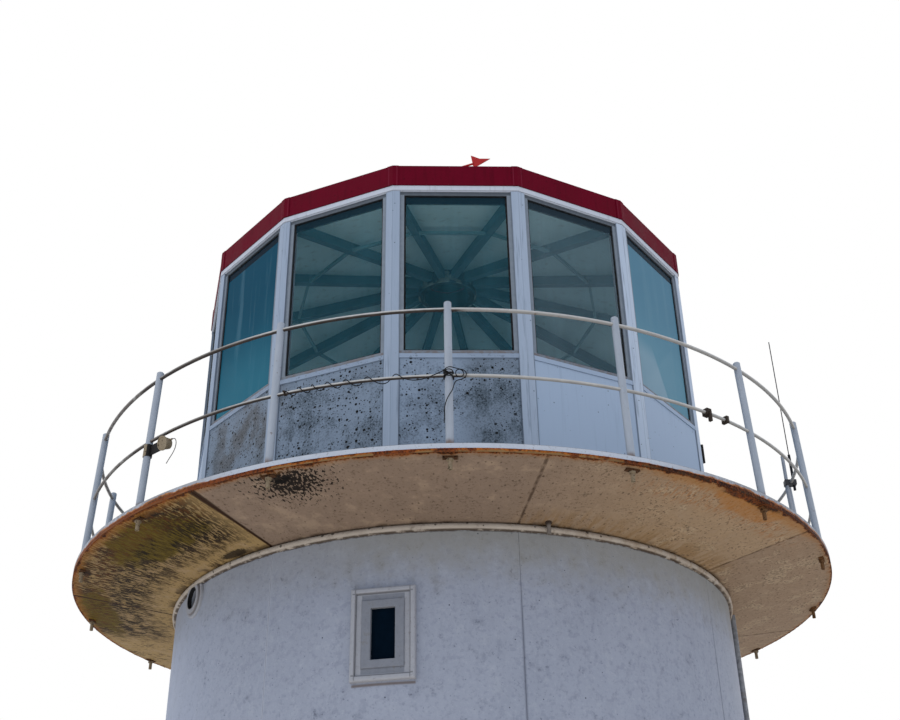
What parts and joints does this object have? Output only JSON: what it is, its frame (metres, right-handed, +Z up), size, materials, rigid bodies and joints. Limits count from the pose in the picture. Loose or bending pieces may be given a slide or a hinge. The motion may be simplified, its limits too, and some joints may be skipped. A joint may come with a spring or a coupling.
{
  "type": "lighthouse",
  "caption": "Short round lighthouse with a cantilevered railed gallery, a many-sided glazed lantern room, a low ribbed roof behind a red fascia and a turning wind vane.",
  "frame": {"origin": "centre of the plinth's underside, at ground level", "axes": "+Z up; -Y faces the picture's camera; +X is to the right in the picture"},
  "size_m": [5.6998, 5.7, 9.1545],
  "materials": {
    "tower_paint": "satin white paint, weathered, fine vertical streaks",
    "lantern_paint": "satin white paint with black mould specks on some panels",
    "gallery_paint": "old cream paint with rust, green growth and black mould",
    "rail_paint": "cream white gloss paint",
    "red_paint": "crimson gloss paint",
    "frame_metal": "satin grey anodised",
    "glazing": "tinted green glass",
    "roof_metal": "grey paint",
    "black_metal": "black paint",
    "dark_glass": "dark pane",
    "plinth_stone": "plain cast concrete",
    "galvanised": "dull galvanised steel",
    "box_plastic": "weathered grey plastic",
    "cable_black": "black cable sheath"
  },
  "bodies": {
    "tower": {"base_plinth": "plinth_stone", "tower_wall_1": "tower_paint", "tower_wall_2": "tower_paint", "tower_wall_3": "tower_paint", "tower_wall_4": "tower_paint", "tower_wall_5": "tower_paint", "tower_wall_6": "tower_paint", "tower_wall_7": "tower_paint", "tower_wall_8": "tower_paint", "cornice_bead": "tower_paint", "gallery_soffit_a": "gallery_paint", "gallery_soffit_b": "gallery_paint", "gallery_deck": "rail_paint", "lantern_floor": "roof_metal", "parapet_front": "lantern_paint", "parapet_rear": "lantern_paint", "gallery_door": "lantern_paint", "door_hardware": "black_metal", "corner_posts": "lantern_paint", "window_frames": "frame_metal", "window_glass": "glazing", "eaves_trim": "lantern_paint", "fascia": "red_paint", "roof_skin": "roof_metal", "roof_ribs": "roof_metal", "roof_hub": "roof_metal", "ventilator": "red_paint", "stanchions": "rail_paint", "stanchion_nuts": "gallery_paint", "top_rail": "rail_paint", "mid_rail": "rail_paint", "window_surround": "tower_paint", "casement_frame": "tower_paint", "casement_pane": "dark_glass", "porthole_ring": "tower_paint", "entrance_frame": "tower_paint", "entrance_door": "lantern_paint", "downpipe": "galvanised", "aerial": "galvanised", "rail_lamp": "box_plastic", "rail_clamp": "galvanised", "soffit_spout": "galvanised", "rail_cable": "cable_black", "lamp_wire": "cable_black"},
    "vane": {"weather_vane": "red_paint"}
  },
  "joints": [
    {"name": "vane_turn", "type": "hinge", "parent": "tower", "child": "vane", "pos_m": [0, 0, 9.0465], "axis": [0, 0, 1], "continuous": true}
  ]
}
